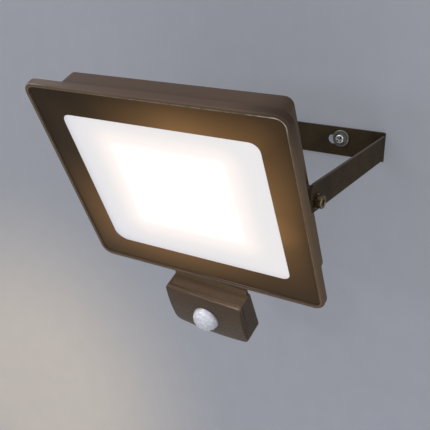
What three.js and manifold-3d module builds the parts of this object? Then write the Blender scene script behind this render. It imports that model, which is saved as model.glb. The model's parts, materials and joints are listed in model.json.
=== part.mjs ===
// Motion sensor security light: a flat LED floodlight head in a U bracket, with a swivelling sensor below it.
// Millimetres, +Z up. The origin is the middle of the bracket's back face, which lies on the wall;
// +Y points into the wall, and the lamp faces -Y. The head's own pieces are written in the head's frame:
// origin in the middle of its front plane, x to the right, y into the housing, z up its face.
import * as THREE from 'three';
import { mergeVertices } from 'three/addons/utils/BufferGeometryUtils.js';
import Module from 'manifold-3d';

const wasm = await Module();
wasm.setup();

// Fits shared by all pieces
const fit = {
  gap: 0.3, // between two pieces that seat on each other
  overrun: 2, // how far a cut runs past what it cuts
  root: 1.5, // how far a boss or a rib reaches into the wall that carries it
};

// Head: a cast housing with a broad rim round the front, and a box behind it
const rim = {
  width: 240,
  height: 207,
  depth: 7.8,
  cornerRadius: 11,
  lipWidth: 3.4, // metal left outside the glass
  frontBevel: 1,
  backBevel: 0.8,
};
const box = {
  sideInset: 14, // from the rim's edges to the box's sides
  topInset: 12.3,
  bottomInset: 8.5,
  back: 39.4, // depth of the box's back face behind the front plane
  cornerRadius: 8.6,
  wall: 3.2,
  draft: 1.6, // taper of each side from the rim to the back
  edgeRound: 1.2,
};
const fins = {
  pitch: 11,
  thickness: 2.2,
  tipThickness: 1.4,
  height: 5,
  endMargin: 9, // from the box's top and bottom
  sideMargin: 13,
};
const restTiltDegrees = 26.2; // the photographed aim of the head, below the level
const pivot = { depth: 26.5, height: 1.3 }; // the head's tilt axis in the head's frame
const pivotBoss = {
  radius: 10.4,
  footRadius: 11.7,
  reach: 4.4, // how far it stands out of the box's side
  innerRadius: 9,
  innerLength: 7,
  blindEnd: 2.5, // metal left past the end of the threaded hole
};

// Front stack, from the glass inwards
const mask = { recess: 1.5, thickness: 0.5, edgeBevel: 0.2, cornerRadius: 7.6 };
const glass = { thickness: 2.3 };
const seal = { width: 6.5, thickness: 0.6 };
const windowPane = {
  sideBorder: 28.2, // from the rim's edges to the lit window
  topBorder: 29.2,
  bottomBorder: 28.4,
  cornerRadius: 8.5,
};
const diffuser = { overlap: 4, thickness: 2 };
const reflector = {
  flangeThickness: 1.5,
  wall: 1.3,
  depth: 7.9,
  sideRun: 21, // how far each sloping side leads in, from the window to the LED board
  endRun: 21.8,
};
const board = {
  sideInset: 3, // from the window's edges to the board's
  endInset: 5.8,
  thickness: 1.6,
  cornerRadius: 5,
  columns: 8,
  rows: 5,
  chipSize: 3,
  chipHeight: 0.8,
  chipMargin: 9, // from the foot of the reflector's sides to the outer chips
};
const heatPlate = { thickness: 2 };
const boardScrew = {
  edgeInset: 6, // from the board's edges
  shankRadius: 1.4,
  headRadius: 2.9,
  headHeight: 2.2,
  length: 12,
  recessRadius: 1.1,
  recessDepth: 1.2,
};
const post = { radius: 4, holeRadius: 1.7, holeDepth: 9 };
const driver = {
  halfWidth: 64,
  halfHeight: 38,
  thickness: 1.6,
  cornerRadius: 3,
  standoff: 4,
  screwInset: 7, // from the board's edges
  screwLength: 5,
};

// Cable gland in the back of the housing
const gland = {
  aboveBottom: 37, // from the box's lower side to the gland's axis
  bossRadius: 13,
  bossHeight: 4,
  stemRadius: 5.9,
  boreRadius: 4.6,
  hexAcross: 19,
  hexHeight: 5,
  collarRadius: 7.6,
  collarLength: 8.2,
  seatRadius: 6.2, // counterbore that holds the rubber seal
  seatDepth: 6,
  sealLength: 7.6,
  nutWall: 1.7,
  nutLength: 14.4,
  nutTipRadius: 7,
  nutGripLength: 7,
  finClearance: 5,
};

// Bracket: one strip bent to a U
const strip = {
  thickness: 2.5,
  height: 28.5,
  armHeight: 23.3,
  bendRadius: 4,
  shoulder: 3.6, // from the wall to where the strip narrows
};
const arm = {
  length: 171, // wall to tilt axis
  pivotDrop: 3, // tilt axis below the middle of the strip
  endReach: 11, // arm past the tilt axis
  endRadius: 7.5,
};
const slot = {
  height: 9.4,
  length: 21.3,
  armInset: 48.6, // from the arm's outside to the slot's middle
  raise: 1.2,
};

// Tilt bolts
const bolt = {
  shankRadius: 2.95,
  headRadius: 5.4,
  headHeight: 5.1,
  socketAcross: 5,
  socketDepth: 2.8,
  holeClearance: 0.35,
  edgeBevel: 0.5,
};
const lockWasher = { radius: 6.3, thickness: 0.8 };
const armSpacer = { radius: 10.4, thickness: 1 };

// Wall fixings
const wallScrew = {
  outward: 3.4, // from the slot's middle, as the light hangs in the photographed place
  upward: 2.3,
  shankRadius: 2,
  headRadius: 4.4,
  headHeight: 3,
  recessWidth: 1.5,
  recessReach: 2.7,
  recessDepth: 1.7,
};
const wallWasher = { radius: 8.4, thickness: 1.6, bevel: 0.6 };

// Swivel neck of the sensor
const neck = {
  depth: 24.5, // swivel axis in the head's frame
  bossRadius: 14.3,
  bossHeight: 2.2,
  sealInner: 8.5,
  sealRadius: 12.2,
  sealThickness: 1,
  discRadius: 13.5,
  discHeight: 4.5,
  discBevel: 1,
  stemRadius: 5.9,
  stemLength: 12.4,
  wireBoreRadius: 3,
  nutAcross: 17,
  nutHeight: 4.5,
  tiltDrop: 8, // tilt axis below the disc
  tongueHalfWidth: 6,
  tongueRadius: 6,
};
const ear = {
  thickness: 4.6,
  sideGap: 0.4,
  rootDrop: 15,
  arcStartDegrees: -54,
  arcEndDegrees: 122,
};
const tiltScrew = {
  shankRadius: 1.95,
  headRadius: 3.8,
  headHeight: 2.4,
  nutAcross: 7,
  nutHeight: 3.4,
  tail: 0.8,
  slotWidth: 1,
  slotDepth: 1,
};

// Sensor head
const restPanDegrees = -2.5; // the photographed turn of the sensor about its neck
const sensor = {
  halfWidth: 42,
  topDrop: 14, // from the rim's lower edge to the sensor's top
  height: 51.6,
  bellyDrop: 4.2, // how far the lower edge bows down in the middle
  front: -12, // depth of its face's upper and lower edge, ahead of the head's front plane
  faceBow: 3.2, // how far the face bulges forwards in the middle
  back: 9.2,
  topRadius: 1.5,
  bottomRadius: 8,
  wall: 2,
  coverDepth: 4,
  faceBevel: 0.7,
  backBevel: 1.2,
};
const caseRidge = { height: 6, depth: 5, slope: 2, sideInset: 1.6 }; // along the case's upper back edge
const caseSeal = { inset: 0.7, width: 1, thickness: 0.4 };
const lens = {
  radius: 13.3,
  bulge: 11.6,
  shell: 1,
  flangeWidth: 1.8,
  flangeThickness: 1,
  drop: 27.4, // from the sensor's top
};
const sensorBoard = {
  halfWidth: 28,
  top: 12,
  bottom: 45,
  thickness: 1.6,
  cornerRadius: 2,
  standoffRadius: 2.4,
  standoffSpread: 22,
  setBack: 11,
};
const pyro = {
  radius: 4.6,
  height: 4.2,
  flangeRadius: 5.1,
  flangeHeight: 0.8,
  windowWidth: 4,
  windowDepth: 0.4,
};
const knob = {
  count: 3,
  pitch: 22,
  drop: 38.5,
  radius: 4,
  sink: 0.6,
  slotWidth: 1.1,
  slotDepth: 1.3,
  potHalf: 4.6,
  potHeight: 2.6,
  sideGap: 0.4,
};
const caseScrew = {
  topSpread: 35,
  topDrop: 7.5,
  bottomSpread: 33,
  bottomDrop: 37.5,
  shankRadius: 1.3,
  headRadius: 2.4,
  headHeight: 1.6,
  sink: 0.5,
  postRadius: 3.2,
  biteLength: 2.6,
  sideGap: 0.3,
};

// A screw head's crown and rim, as shares of its radius and height
const screwCrownShare = 0.65;
const screwRimShare = 0.45;

// Arc steps of round forms
const steps = { corner: 5, round: 24, small: 10, dome: 6 };
const weld = 1e-4; // points of a form closer than this are one point

const finish = {
  housing: { color: 0x2c2724, roughness: 0.42, metalness: 0.55 },
  bracket: { color: 0x282320, roughness: 0.5, metalness: 0.5 },
  glass: { color: 0xdfe6ea, roughness: 0.05, metalness: 0 },
  mask: { color: 0x1c1917, roughness: 0.35, metalness: 0 },
  rubber: { color: 0x181818, roughness: 0.85, metalness: 0 },
  opal: { color: 0xf6f4ef, roughness: 0.5, metalness: 0 },
  white: { color: 0xf2f2f0, roughness: 0.4, metalness: 0 },
  pcbWhite: { color: 0xe9e9e4, roughness: 0.5, metalness: 0 },
  pcb: { color: 0x1f5a3a, roughness: 0.55, metalness: 0 },
  aluminium: { color: 0xb9bcc0, roughness: 0.4, metalness: 1 },
  steel: { color: 0xa9acb0, roughness: 0.35, metalness: 1 },
  darkSteel: { color: 0x2d2a28, roughness: 0.4, metalness: 0.9 },
  plastic: { color: 0x352e2a, roughness: 0.45, metalness: 0 },
  nylon: { color: 0x262626, roughness: 0.6, metalness: 0 },
  lens: { color: 0xe8ecf2, roughness: 0.35, metalness: 0 },
};

// Solid and outline tools

// Turns a closed geometry into a solid whose faces point outwards.
function solidOf(geometry) {
  const bare = geometry.index ? geometry.toNonIndexed() : geometry.clone();
  bare.deleteAttribute('normal');
  bare.deleteAttribute('uv');
  const merged = mergeVertices(bare, weld);
  const points = merged.attributes.position;
  const index = Array.from(merged.index.array);
  const kept = [];
  let volume = 0;
  const [a, b, c] = [new THREE.Vector3(), new THREE.Vector3(), new THREE.Vector3()];
  for (let i = 0; i < index.length; i += 3) {
    const [p, q, r] = [index[i], index[i + 1], index[i + 2]];
    if (p === q || q === r || r === p) continue;
    a.fromBufferAttribute(points, p);
    b.fromBufferAttribute(points, q);
    c.fromBufferAttribute(points, r);
    volume += a.dot(b.clone().cross(c));
    kept.push(p, q, r);
  }
  if (volume < 0) kept.reverse();
  return new wasm.Manifold(new wasm.Mesh({
    numProp: 3,
    vertProperties: new Float32Array(points.array),
    triVerts: new Uint32Array(kept),
  }));
}

function geometryOf(solid) {
  const mesh = solid.getMesh();
  const geometry = new THREE.BufferGeometry();
  geometry.setAttribute('position', new THREE.BufferAttribute(Float32Array.from(mesh.vertProperties), 3));
  geometry.setIndex(new THREE.BufferAttribute(Uint32Array.from(mesh.triVerts), 1));
  geometry.computeVertexNormals();
  return geometry;
}

const joined = (first, ...others) => others.reduce((sum, other) => sum.add(other), first);
const without = (first, ...cuts) => cuts.reduce((rest, cut) => rest.subtract(cut), first);

// Points of a rounded rectangle from its left, right, bottom and top, counter-clockwise.
function roundedPoints(left, right, bottom, top, radius, cornerSteps = steps.corner) {
  const corners = [
    [right - radius, top - radius, 0],
    [left + radius, top - radius, Math.PI / 2],
    [left + radius, bottom + radius, Math.PI],
    [right - radius, bottom + radius, -Math.PI / 2],
  ];
  const points = [];
  for (const [x, y, start] of corners) {
    for (let i = 0; i <= cornerSteps; i++) {
      const angle = start + (Math.PI / 2) * (i / cornerSteps);
      points.push(new THREE.Vector2(x + radius * Math.cos(angle), y + radius * Math.sin(angle)));
    }
  }
  return points;
}

// A closed solid through a stack of outlines in x and z, each at its own depth y.
function layered(layers) {
  const count = layers[0].points.length;
  const positions = [];
  for (const { depth, points } of layers) {
    for (const p of points) positions.push(p.x, depth, p.y);
  }
  const index = [];
  for (let k = 0; k + 1 < layers.length; k++) {
    for (let i = 0; i < count; i++) {
      const j = (i + 1) % count;
      const [a, b] = [k * count + i, k * count + j];
      index.push(a, b, b + count, a, b + count, a + count);
    }
  }
  const last = (layers.length - 1) * count;
  for (const [a, b, c] of THREE.ShapeUtils.triangulateShape(layers[0].points, [])) index.push(a, c, b);
  const end = THREE.ShapeUtils.triangulateShape(layers[layers.length - 1].points, []);
  for (const [a, b, c] of end) index.push(last + a, last + b, last + c);
  const geometry = new THREE.BufferGeometry();
  geometry.setAttribute('position', new THREE.Float32BufferAttribute(positions, 3));
  geometry.setIndex(index);
  return solidOf(geometry);
}

// A flat plate from points in x and z, between two depths y.
const plateY = (points, from, to) => layered([{ depth: from, points }, { depth: to, points }]);

// Turns something built along y to lie along x or z.
function turned(solid, axis) {
  if (axis === 'y') return solid;
  const geometry = geometryOf(solid);
  if (axis === 'x') geometry.rotateZ(-Math.PI / 2);
  else geometry.rotateX(Math.PI / 2);
  return solidOf(geometry);
}

// A plate from points in y and z, between two places x.
function plateX(points, from, to) {
  const shape = new THREE.ExtrudeGeometry(new THREE.Shape(points), { depth: to - from, bevelEnabled: false });
  const axes = new THREE.Matrix4().makeBasis(
    new THREE.Vector3(0, 1, 0),
    new THREE.Vector3(0, 0, 1),
    new THREE.Vector3(1, 0, 0),
  );
  return solidOf(shape.applyMatrix4(axes).translate(from, 0, 0));
}

// A plate from points in x and y, between two heights z.
function plateZ(points, from, to) {
  const shape = new THREE.ExtrudeGeometry(new THREE.Shape(points), { depth: to - from, bevelEnabled: false });
  return solidOf(shape.translate(0, 0, from));
}

// A turned body: its profile has a radius and a place along the axis, and starts and ends on the axis.
function revolve(profile, axis, centre, sides = steps.round) {
  const points = profile.map(([radius, along]) => new THREE.Vector2(radius, along));
  const solid = turned(solidOf(new THREE.LatheGeometry(points, sides)), axis);
  return solid.translate(centre);
}

const rod = (radius, from, to, axis, centre, sides = steps.round) =>
  revolve([[0, from], [radius, from], [radius, to], [0, to]], axis, centre, sides);

const ring = (inner, outer, from, to, axis, centre, sides = steps.round) => without(
  rod(outer, from, to, axis, centre, sides),
  rod(inner, from - fit.overrun, to + fit.overrun, axis, centre, sides),
);

const cornersPerHexagon = 6;
const hexRadius = (across) => across / 2 / Math.cos(Math.PI / cornersPerHexagon);

function hexagon(across, from, to, axis, centre) {
  return rod(hexRadius(across), from, to, axis, centre, cornersPerHexagon);
}

// A block between two opposite corners.
function block(low, high) {
  const size = high.map((value, i) => value - low[i]);
  const geometry = new THREE.BoxGeometry(...size);
  return solidOf(geometry.translate(...low.map((value, i) => value + size[i] / 2)));
}

// Where things lie, worked out from the sizes above

const rimHalfWidth = rim.width / 2;
const rimHalfHeight = rim.height / 2;
const boxHalfWidth = rimHalfWidth - box.sideInset;
const boxTop = rimHalfHeight - box.topInset;
const boxBottom = -rimHalfHeight + box.bottomInset;
const windowHalfWidth = rimHalfWidth - windowPane.sideBorder;
const windowHalfHeight = rimHalfHeight - (windowPane.topBorder + windowPane.bottomBorder) / 2;
const windowRaise = (windowPane.bottomBorder - windowPane.topBorder) / 2; // of the window's middle
const maskBack = mask.recess + mask.thickness;
const glassFront = maskBack + fit.gap;
const glassBack = glassFront + glass.thickness;
const sealFront = glassBack + fit.gap;
const sealBack = sealFront + seal.thickness;
const ledge = sealBack + fit.gap; // the shelf that the glass lies on, with the seal between
const diffuserFront = glassBack + fit.gap;
const diffuserBack = diffuserFront + diffuser.thickness;
const reflectorFront = diffuserBack + fit.gap;
const reflectorBack = reflectorFront + reflector.depth;
const boardFront = reflectorBack + fit.gap;
const boardBack = boardFront + board.thickness;
const plateFront = boardBack + fit.gap;
const plateBack = plateFront + heatPlate.thickness;
const boardPostTop = plateBack + fit.gap;
const floor = box.back - box.wall; // inside of the housing's back wall
const driverPostTop = floor - driver.standoff;
const driverBack = driverPostTop - fit.gap;
const driverFront = driverBack - driver.thickness;
const cavity = {
  halfWidth: boxHalfWidth - box.wall,
  top: boxTop - box.wall,
  bottom: boxBottom + box.wall,
  cornerRadius: box.cornerRadius - box.wall,
};
const pocketHalfWidth = rimHalfWidth - rim.lipWidth;
const pocketHalfHeight = rimHalfHeight - rim.lipWidth;
const boardHalfWidth = windowHalfWidth - board.sideInset;
const boardHalfHeight = windowHalfHeight - board.endInset;
const throatHalfWidth = windowHalfWidth - reflector.sideRun;
const throatHalfHeight = windowHalfHeight - reflector.endRun;
const glandDrop = -boxBottom - gland.aboveBottom; // of the gland's axis below the head's middle

const bossEnd = boxHalfWidth + pivotBoss.reach;
const spacerInside = bossEnd + fit.gap;
const spacerOutside = spacerInside + armSpacer.thickness;
const armInside = spacerOutside + fit.gap;
const armOutside = armInside + strip.thickness;
const slotPlace = armOutside - slot.armInset;
const screwPlace = slotPlace + wallScrew.outward;
const screwRaise = slot.raise + wallScrew.upward;
const boltHoleRadius = bolt.shankRadius + bolt.holeClearance;
const lockWasherInside = armOutside + fit.gap;
const boltHeadInside = lockWasherInside + lockWasher.thickness + fit.gap;
const boltHoleEnd = cavity.halfWidth - pivotBoss.innerLength + pivotBoss.blindEnd;
const boltTip = boltHoleEnd + fit.gap;

const neckBossBottom = boxBottom - neck.bossHeight;
const neckSealBottom = neckBossBottom - fit.gap - neck.sealThickness;
const discTop = neckSealBottom - fit.gap;
const discBottom = discTop - neck.discHeight;
const tiltAxisHeight = discBottom - neck.tiltDrop;
const neckNutBottom = cavity.bottom + fit.gap;
const stemTop = discTop + neck.stemLength;

const sensorTop = -rimHalfHeight - sensor.topDrop;
const sensorBottom = sensorTop - sensor.height;
const coverBack = sensor.front + sensor.coverDepth;
const caseSealFront = coverBack + fit.gap;
const caseSealBack = caseSealFront + caseSeal.thickness;
const caseFront = caseSealBack + fit.gap;
const coverInside = sensor.front + sensor.wall;
const caseInside = sensor.back - sensor.wall;
const lensHeight = sensorTop - lens.drop;
const lensBase = sensor.front - sensor.faceBow;
const lensFlangeFront = coverInside + fit.gap;
const lensFlangeBack = lensFlangeFront + lens.flangeThickness;
const sensorBoardFront = sensor.front + sensorBoard.setBack;
const sensorBoardBack = sensorBoardFront + sensorBoard.thickness;
const knobHeight = sensorTop - knob.drop;
const knobPlaces = Array.from({ length: knob.count }, (_, i) => (i - (knob.count - 1) / 2) * knob.pitch);
const caseScrewPlaces = [
  [-caseScrew.topSpread, sensorTop - caseScrew.topDrop],
  [caseScrew.topSpread, sensorTop - caseScrew.topDrop],
  [-caseScrew.bottomSpread, sensorTop - caseScrew.bottomDrop],
  [caseScrew.bottomSpread, sensorTop - caseScrew.bottomDrop],
];
const earInside = neck.tongueHalfWidth + ear.sideGap;
const earOutside = earInside + ear.thickness;

const centredPoints = (halfWidth, halfHeight, radius, raise = 0) =>
  roundedPoints(-halfWidth, halfWidth, raise - halfHeight, raise + halfHeight, radius);

const fourCorners = (spreadX, spreadZ, raise) => [-1, 1].flatMap(
  (side) => [-1, 1].map((level) => [side * spreadX, raise + level * spreadZ]),
);
const boardScrewPlaces = fourCorners(
  boardHalfWidth - boardScrew.edgeInset, boardHalfHeight - boardScrew.edgeInset, windowRaise,
);
const driverScrewPlaces = fourCorners(
  driver.halfWidth - driver.screwInset, driver.halfHeight - driver.screwInset, windowRaise,
);

// Head

// The rim's outline, drawn in by an inset.
const rimPoints = (inset) =>
  centredPoints(rimHalfWidth - inset, rimHalfHeight - inset, rim.cornerRadius - inset);

// The box's outline behind the rim, drawn in by an inset.
const boxPoints = (inset, radius = box.cornerRadius - inset) => roundedPoints(
  -boxHalfWidth + inset,
  boxHalfWidth - inset,
  boxBottom + inset,
  boxTop - inset,
  radius,
);

function coolingFins() {
  const reach = boxHalfWidth - fins.sideMargin;
  const number = Math.floor(reach / fins.pitch);
  const glandRoom = gland.bossRadius + gland.finClearance;
  const tips = [];
  for (let i = -number; i <= number; i++) {
    const x = i * fins.pitch;
    const besideGland = Math.abs(x) < glandRoom;
    const low = besideGland ? glandRoom - glandDrop : boxBottom + fins.endMargin;
    const high = boxTop - fins.endMargin;
    const base = box.back - fit.root;
    const tip = box.back + fins.height;
    tips.push(layered([
      { depth: base, points: finPoints(x, fins.thickness / 2, low, high) },
      { depth: tip, points: finPoints(x, fins.tipThickness / 2, low + fins.height, high - fins.height) },
    ]));
  }
  return tips;
}

function finPoints(x, half, low, high) {
  return [[x - half, low], [x + half, low], [x + half, high], [x - half, high]]
    .map(([px, pz]) => new THREE.Vector2(px, pz));
}

function rearHousing() {
  const rimBody = layered([
    { depth: 0, points: rimPoints(rim.frontBevel) },
    { depth: rim.frontBevel, points: rimPoints(0) },
    { depth: rim.depth - rim.backBevel, points: rimPoints(0) },
    { depth: rim.depth, points: rimPoints(rim.backBevel) },
  ]);
  const sideEnd = box.back - box.edgeRound;
  const boxBody = layered([
    { depth: ledge, points: boxPoints(0) },
    { depth: sideEnd, points: boxPoints(box.draft) },
    { depth: box.back - box.edgeRound / 3, points: boxPoints(box.draft + box.edgeRound / 3) },
    { depth: box.back, points: boxPoints(box.draft + box.edgeRound) },
  ]);
  const bosses = [-1, 1].map((side) => {
    const profile = [
      [0, cavity.halfWidth - pivotBoss.innerLength],
      [pivotBoss.innerRadius, cavity.halfWidth - pivotBoss.innerLength],
      [pivotBoss.innerRadius, cavity.halfWidth],
      [pivotBoss.footRadius, cavity.halfWidth],
      [pivotBoss.footRadius, boxHalfWidth],
      [pivotBoss.radius, boxHalfWidth + pivotBoss.footRadius - pivotBoss.radius],
      [pivotBoss.radius, bossEnd],
      [0, bossEnd],
    ].map(([radius, along]) => [radius, side * along]);
    return revolve(profile, 'x', [0, pivot.depth, pivot.height]);
  });
  const glandBoss = rod(
    gland.bossRadius, box.back - fit.root, box.back + gland.bossHeight, 'y', [0, 0, -glandDrop],
  );
  const neckBoss = rod(neck.bossRadius, neckBossBottom, cavity.bottom, 'z', [0, neck.depth, 0]);
  const pocket = plateY(panePoints(-fit.gap), -fit.overrun, ledge);
  const hollow = plateY(
    roundedPoints(-cavity.halfWidth, cavity.halfWidth, cavity.bottom, cavity.top, cavity.cornerRadius),
    -fit.overrun,
    floor,
  );
  const posts = [
    ...boardScrewPlaces.map((place) => housingPost(place, boardPostTop, post.holeDepth)),
    ...driverScrewPlaces.map((place) => housingPost(place, driverPostTop, driver.screwLength)),
  ];
  const boltHoles = [-1, 1].map((side) => {
    const [near, far] = [side * boltHoleEnd, side * (bossEnd + fit.overrun)];
    return rod(boltHoleRadius, near, far, 'x', [0, pivot.depth, pivot.height]);
  });
  const glandHole = rod(
    gland.stemRadius + fit.gap, floor - fit.overrun, box.back + gland.bossHeight + fit.overrun, 'y',
    [0, 0, -glandDrop],
  );
  const neckHole = rod(
    neck.stemRadius + fit.gap, neckBossBottom - fit.overrun, cavity.bottom + fit.overrun, 'z',
    [0, neck.depth, 0],
  );
  const shell = without(joined(rimBody, boxBody), pocket, hollow);
  const postBodies = posts.map((p) => p.body);
  const dressed = joined(shell, ...bosses, glandBoss, neckBoss, ...coolingFins(), ...postBodies);
  return without(dressed, ...boltHoles, glandHole, neckHole, ...posts.map((p) => p.hole));
}

// A screw post standing on the housing's floor, and its hole.
function housingPost([x, z], top, holeDepth) {
  return {
    body: rod(post.radius, top, floor + fit.root, 'y', [x, 0, z], steps.small),
    hole: rod(post.holeRadius, top - fit.overrun, top + holeDepth, 'y', [x, 0, z], steps.small),
  };
}

// The outline that the glass and its border share, drawn in by an inset.
const panePoints = (inset) => centredPoints(
  pocketHalfWidth - fit.gap - inset, pocketHalfHeight - fit.gap - inset, mask.cornerRadius - inset,
);

const windowPoints = (grow) => centredPoints(
  windowHalfWidth + grow, windowHalfHeight + grow, windowPane.cornerRadius + grow, windowRaise,
);

function windowMask() {
  const sheet = layered([
    { depth: mask.recess, points: panePoints(mask.edgeBevel) },
    { depth: mask.recess + mask.edgeBevel, points: panePoints(0) },
    { depth: maskBack, points: panePoints(0) },
  ]);
  return without(sheet, plateY(windowPoints(0), mask.recess - fit.overrun, maskBack + fit.overrun));
}

const frontGlass = () => plateY(panePoints(0), glassFront, glassBack);

function glassSeal() {
  return without(
    plateY(panePoints(fit.gap), sealFront, sealBack),
    plateY(
      centredPoints(pocketHalfWidth - seal.width, pocketHalfHeight - seal.width, mask.cornerRadius),
      sealFront - fit.overrun,
      sealBack + fit.overrun,
    ),
  );
}

const diffuserSheet = () => plateY(windowPoints(diffuser.overlap), diffuserFront, diffuserBack);

// A flat flange with a funnel behind the window, whose sides slope in to the LED board.
function reflectorTray() {
  const throatPoints = (grow) => centredPoints(
    throatHalfWidth + grow, throatHalfHeight + grow, windowPane.cornerRadius + grow,
    windowRaise,
  );
  const flange = plateY(
    roundedPoints(
      -cavity.halfWidth + fit.gap, cavity.halfWidth - fit.gap,
      cavity.bottom + fit.gap, cavity.top - fit.gap,
      cavity.cornerRadius,
    ),
    reflectorFront,
    reflectorFront + reflector.flangeThickness,
  );
  const funnel = layered([
    { depth: reflectorFront, points: windowPoints(reflector.wall) },
    { depth: reflectorBack, points: throatPoints(reflector.wall) },
  ]);
  const opening = layered([
    { depth: reflectorFront - fit.overrun, points: windowPoints(0) },
    { depth: reflectorFront, points: windowPoints(0) },
    { depth: reflectorBack, points: throatPoints(0) },
    { depth: reflectorBack + fit.overrun, points: throatPoints(0) },
  ]);
  return without(joined(flange, funnel), opening);
}

const boardHoles = (from, to) => boardScrewPlaces.map(
  ([x, z]) => rod(post.holeRadius, from - fit.overrun, to + fit.overrun, 'y', [x, 0, z], steps.small),
);

function ledBoard() {
  const sheet = plateY(
    centredPoints(boardHalfWidth, boardHalfHeight, board.cornerRadius, windowRaise),
    boardFront, boardBack,
  );
  const chips = [];
  const half = board.chipSize / 2;
  for (let row = 0; row < board.rows; row++) {
    for (let column = 0; column < board.columns; column++) {
      const x = (column / (board.columns - 1) * 2 - 1) * (throatHalfWidth - board.chipMargin);
      const z = windowRaise + (row / (board.rows - 1) * 2 - 1) * (throatHalfHeight - board.chipMargin);
      chips.push(block(
        [x - half, boardFront - board.chipHeight, z - half],
        [x + half, boardFront + board.thickness / 2, z + half],
      ));
    }
  }
  return without(joined(sheet, ...chips), ...boardHoles(boardFront, boardBack));
}

function heatSpreader() {
  const sheet = plateY(
    centredPoints(boardHalfWidth, boardHalfHeight, board.cornerRadius, windowRaise),
    plateFront, plateBack,
  );
  return without(sheet, ...boardHoles(plateFront, plateBack));
}

// A round-headed screw that looks along -y, its head seated at the given depth.
function panScrew({ x, z, seat, length, size }) {
  const top = seat - fit.gap - size.headHeight;
  const body = revolve([
    [0, top],
    [size.headRadius * screwCrownShare, top],
    [size.headRadius, seat - fit.gap - size.headHeight * screwRimShare],
    [size.headRadius, seat - fit.gap],
    [size.shankRadius, seat - fit.gap],
    [size.shankRadius, seat + length],
    [0, seat + length],
  ], 'y', [x, 0, z], steps.small);
  const recess = rod(
    size.recessRadius, top - fit.overrun, top + size.recessDepth, 'y', [x, 0, z], cornersPerHexagon,
  );
  return without(body, recess);
}

// The transformer, coil and terminal block, and the three capacitors: each one's place across and up the
// driver board, its half width as a share of the board's half height, and its height as a share of the room.
const driverBlockShares = [[-0.1, 0.25, 0.34, 0.95], [0.35, -0.35, 0.24, 0.7], [-0.72, -0.1, 0.26, 0.85]];
const driverCanShares = [[0.45, 0.42, 0.2, 0.9], [-0.42, -0.5, 0.17, 0.9], [0.08, -0.6, 0.14, 0.75]];

// Driver board with its transformer, capacitors, coil and terminal block, which stand towards the front.
function driverBoard() {
  const sheet = plateY(
    centredPoints(driver.halfWidth, driver.halfHeight, driver.cornerRadius, windowRaise),
    driverFront, driverBack,
  );
  const tallest = driverFront - plateBack - fit.overrun;
  const into = driverFront + driver.thickness / 2;
  const component = ([xShare, zShare, halfShare, heightShare]) => {
    const x = xShare * driver.halfWidth;
    const z = windowRaise + zShare * driver.halfHeight;
    const half = halfShare * driver.halfHeight;
    return { x, z, half, top: driverFront - heightShare * tallest };
  };
  const blocks = driverBlockShares
    .map(component)
    .map(({ x, z, half, top }) => block([x - half, top, z - half], [x + half, into, z + half]));
  const cans = driverCanShares
    .map(component)
    .map(({ x, z, half, top }) => rod(half, top, into, 'y', [x, 0, z], steps.small));
  const holes = driverScrewPlaces.map(
    ([x, z]) => rod(
      post.holeRadius, driverFront - fit.overrun, driverBack + fit.overrun, 'y', [x, 0, z], steps.small,
    ),
  );
  return without(joined(sheet, ...blocks, ...cans), ...holes);
}

// Cable gland

const glandCentre = [0, 0, -glandDrop];
const glandHexFront = box.back + gland.bossHeight + fit.gap;
const glandHexBack = glandHexFront + gland.hexHeight;
const glandCollarEnd = glandHexBack + gland.collarLength;
const glandSeatStart = glandCollarEnd - gland.seatDepth;

function glandBody() {
  const stem = rod(gland.stemRadius, floor - fit.root, glandHexFront + fit.root, 'y', glandCentre);
  const nut = hexagon(gland.hexAcross, glandHexFront, glandHexBack, 'y', glandCentre);
  const collar = rod(gland.collarRadius, glandHexBack - fit.root, glandCollarEnd, 'y', glandCentre);
  const bore = rod(gland.boreRadius, floor - fit.overrun - fit.root, glandCollarEnd, 'y', glandCentre);
  const seat = rod(gland.seatRadius, glandSeatStart, glandCollarEnd + fit.overrun, 'y', glandCentre);
  return without(joined(stem, nut, collar), bore, seat);
}

function glandSeal() {
  const start = glandSeatStart + fit.gap;
  const outer = gland.seatRadius - fit.gap;
  return ring(gland.boreRadius, outer, start, start + gland.sealLength, 'y', glandCentre);
}

function glandNut() {
  const start = glandHexBack + fit.gap;
  const end = start + gland.nutLength;
  const inner = gland.collarRadius + fit.gap;
  const sealEnd = glandSeatStart + 2 * fit.gap + gland.sealLength;
  const grip = hexagon(gland.hexAcross, start, start + gland.nutGripLength, 'y', glandCentre);
  const dome = revolve([
    [0, start],
    [inner + gland.nutWall, start],
    [inner + gland.nutWall, start + gland.nutGripLength],
    [gland.nutTipRadius + (inner + gland.nutWall - gland.nutTipRadius) / 2, end - gland.nutWall],
    [gland.nutTipRadius, end],
    [0, end],
  ], 'y', glandCentre);
  const room = rod(inner, start - fit.overrun, sealEnd, 'y', glandCentre);
  const mouth = rod(gland.boreRadius + fit.gap, start, end + fit.overrun, 'y', glandCentre);
  return without(joined(grip, dome), room, mouth);
}

// Tilt fixings, one set on each side

const pivotCentre = [0, pivot.depth, pivot.height];

function tiltBolt(side) {
  const headEnd = boltHeadInside + bolt.headHeight;
  const profile = [
    [0, boltTip],
    [bolt.shankRadius, boltTip],
    [bolt.shankRadius, boltHeadInside],
    [bolt.headRadius, boltHeadInside],
    [bolt.headRadius, headEnd - bolt.edgeBevel],
    [bolt.headRadius - bolt.edgeBevel, headEnd],
    [0, headEnd],
  ].map(([radius, along]) => [radius, side * along]);
  const [near, far] = [side * (headEnd - bolt.socketDepth), side * (headEnd + fit.overrun)];
  const socket = hexagon(bolt.socketAcross, near, far, 'x', pivotCentre);
  return without(revolve(profile, 'x', pivotCentre), socket);
}

function sideRing(inner, outer, inside, thickness, side) {
  return ring(inner, outer, ...[side * inside, side * (inside + thickness)].sort((a, b) => a - b),
    'x', pivotCentre);
}

// Bracket, in the part's own frame

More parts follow.
